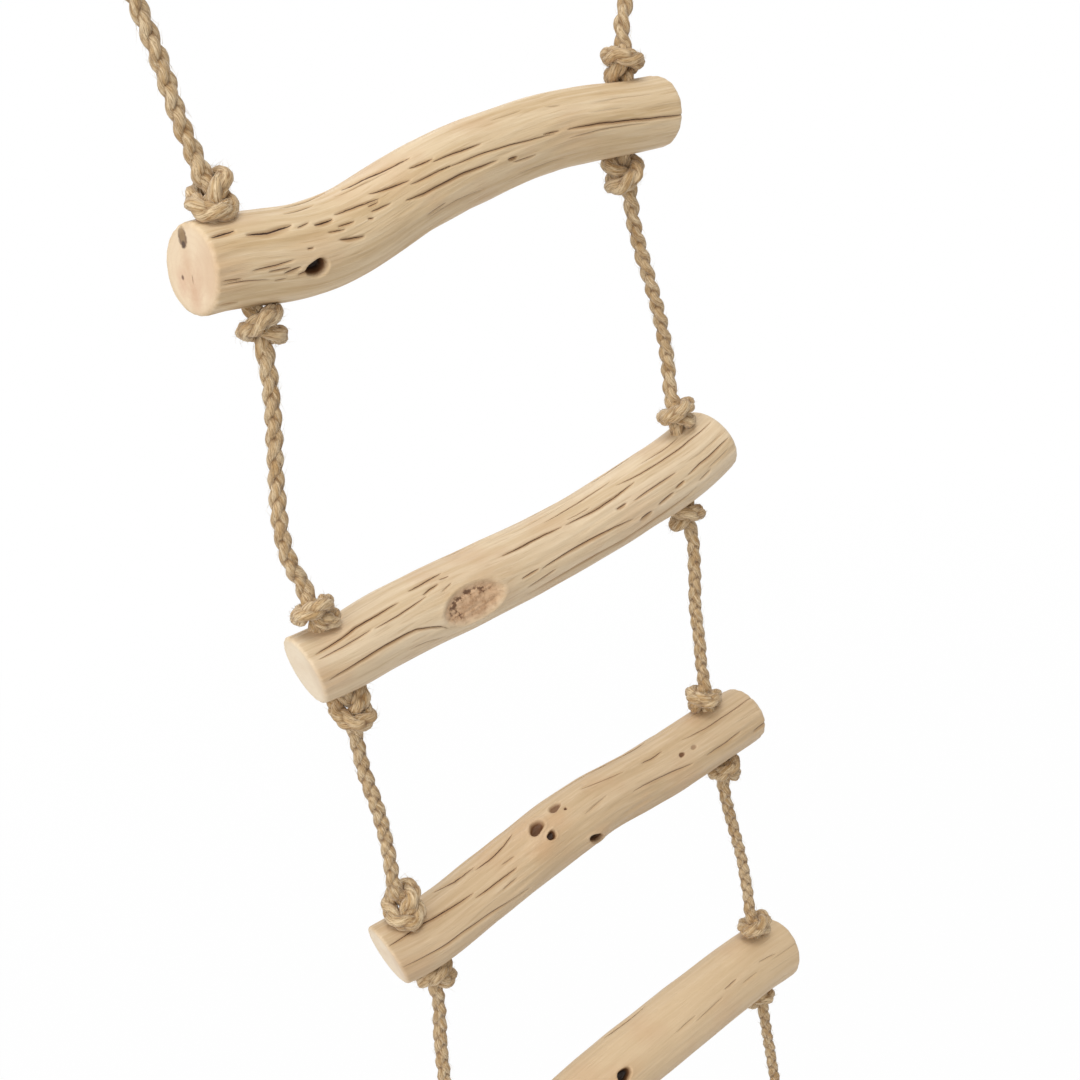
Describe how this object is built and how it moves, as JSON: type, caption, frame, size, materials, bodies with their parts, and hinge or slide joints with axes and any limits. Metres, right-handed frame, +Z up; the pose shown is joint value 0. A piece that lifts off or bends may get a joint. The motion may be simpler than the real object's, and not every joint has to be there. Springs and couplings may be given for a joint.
{
  "type": "bird ladder",
  "caption": "Hanging bird ladder: crooked sanded branches held one under another on knotted plaited jute ropes, with an eye at the top of each rope.",
  "frame": {"origin": "midway between the two eyes, level with the inside of their tops, where hooks bear", "axes": "+X along the branches from the left rope to the right one, +Y away from the front, +Z up along the ropes"},
  "size_m": [0.1927, 0.0289, 0.5845],
  "materials": {
    "wood": "raw, sanded",
    "jute": "plaited, fuzzy"
  },
  "bodies": {
    "root": {"top_rung": "wood", "second_rung": "wood", "third_rung": "wood", "bottom_rung": "wood", "left_rope": "jute", "right_rope": "jute"}
  },
  "joints": []
}
